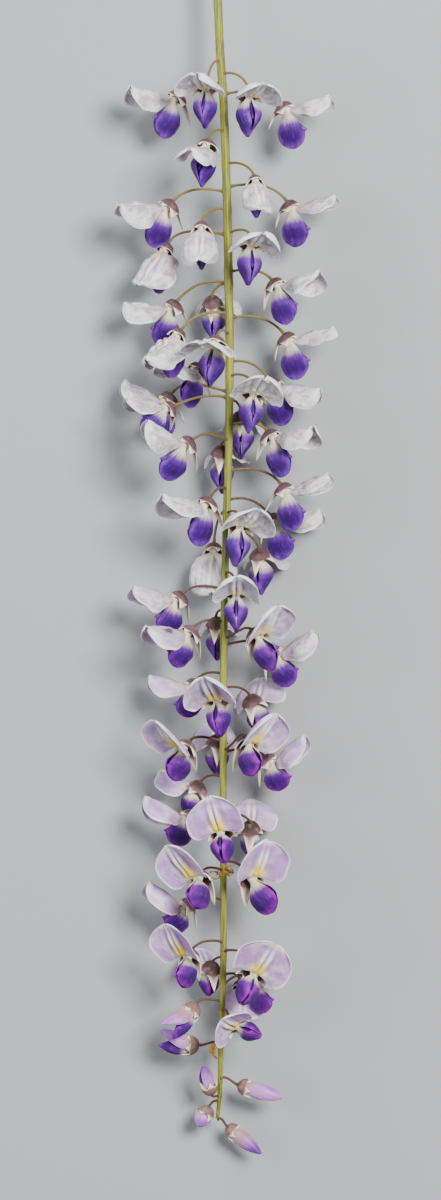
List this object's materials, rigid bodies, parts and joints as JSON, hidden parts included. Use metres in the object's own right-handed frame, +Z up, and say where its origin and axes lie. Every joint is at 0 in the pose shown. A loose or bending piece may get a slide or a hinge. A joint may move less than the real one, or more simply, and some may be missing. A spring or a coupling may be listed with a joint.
{
  "type": "cut wisteria raceme",
  "caption": "Long cut raceme of wisteria lying on a surface: green stalk, arching flower stalks, open pea flowers with white-lilac banners and violet wings, and tip buds.",
  "frame": {"origin": "middle of the raceme's bounding box, on the surface that it lies on", "axes": "+Y along the main stalk to its cut end, +X across it, +Z up from the surface"},
  "size_m": [0.0818, 0.4496, 0.0594],
  "materials": {
    "stalk": "living green plant stalk, satin, with red-brown flower stalks and dusty mauve calyces",
    "petal": "thin living petal, matt and faintly translucent, white to lilac banner and violet wings"
  },
  "bodies": {
    "root": {"stem": "stalk", "flower_01": "petal", "flower_02": "petal", "flower_03": "petal", "flower_04": "petal", "flower_05": "petal", "flower_06": "petal", "flower_07": "petal", "flower_08": "petal", "flower_09": "petal", "flower_10": "petal", "flower_11": "petal", "flower_12": "petal", "flower_13": "petal", "flower_14": "petal", "flower_15": "petal", "flower_16": "petal", "flower_17": "petal", "flower_18": "petal", "flower_19": "petal", "flower_20": "petal", "flower_21": "petal", "flower_22": "petal", "flower_23": "petal", "flower_24": "petal", "flower_25": "petal", "flower_26": "petal", "flower_27": "petal", "flower_28": "petal", "flower_29": "petal", "flower_30": "petal", "flower_31": "petal", "flower_32": "petal", "flower_33": "petal", "flower_34": "petal", "flower_35": "petal", "flower_36": "petal", "flower_37": "petal", "flower_38": "petal", "flower_39": "petal", "flower_40": "petal", "flower_41": "petal", "flower_42": "petal", "flower_43": "petal", "flower_44": "petal", "flower_45": "petal", "flower_46": "petal", "flower_47": "petal", "flower_48": "petal", "flower_49": "petal", "flower_50": "petal", "flower_51": "petal", "flower_52": "petal", "flower_53": "petal", "flower_54": "petal", "flower_55": "petal", "flower_56": "petal", "flower_57": "petal", "flower_58": "petal"}
  },
  "joints": []
}
